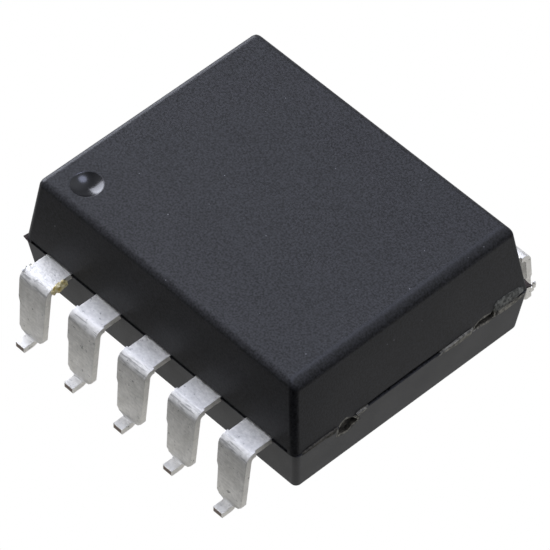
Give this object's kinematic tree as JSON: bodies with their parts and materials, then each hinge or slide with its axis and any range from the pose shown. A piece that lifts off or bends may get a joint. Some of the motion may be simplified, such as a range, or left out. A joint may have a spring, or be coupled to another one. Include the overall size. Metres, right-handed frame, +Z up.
{
  "type": "optocoupler",
  "caption": "Surface-mount optocoupler: black moulded package with two rows of formed gull-wing leads and a pin-one dimple, holding an emitter and a detector chip coupled by light.",
  "frame": {"origin": "on the seating plane of the feet, below the middle of the package", "axes": "+X along the lead rows, away from the pin-one end, +Y across the rows, away from the first row, +Z up"},
  "size_m": [0.0139, 0.015, 0.0061],
  "materials": {
    "epoxy": "matte moulded",
    "tin_plate": "dull tin plate",
    "emitter_chip": "polished",
    "detector_chip": "polished",
    "adhesive": "silver-filled",
    "silicone": "clear, soft",
    "gold_wire": "drawn gold"
  },
  "bodies": {
    "root": {"body": "epoxy", "lead_1": "tin_plate", "lead_2": "tin_plate", "lead_3": "tin_plate", "lead_4": "tin_plate", "lead_5": "tin_plate", "lead_6": "tin_plate", "lead_7": "tin_plate", "lead_8": "tin_plate", "lead_9": "tin_plate", "lead_10": "tin_plate", "emitter_die": "emitter_chip", "emitter_bond": "adhesive", "detector_die": "detector_chip", "detector_bond": "adhesive", "light_guide": "silicone", "emitter_wire": "gold_wire", "supply_wire": "gold_wire", "output_wire": "gold_wire", "ground_wire": "gold_wire"}
  },
  "joints": []
}
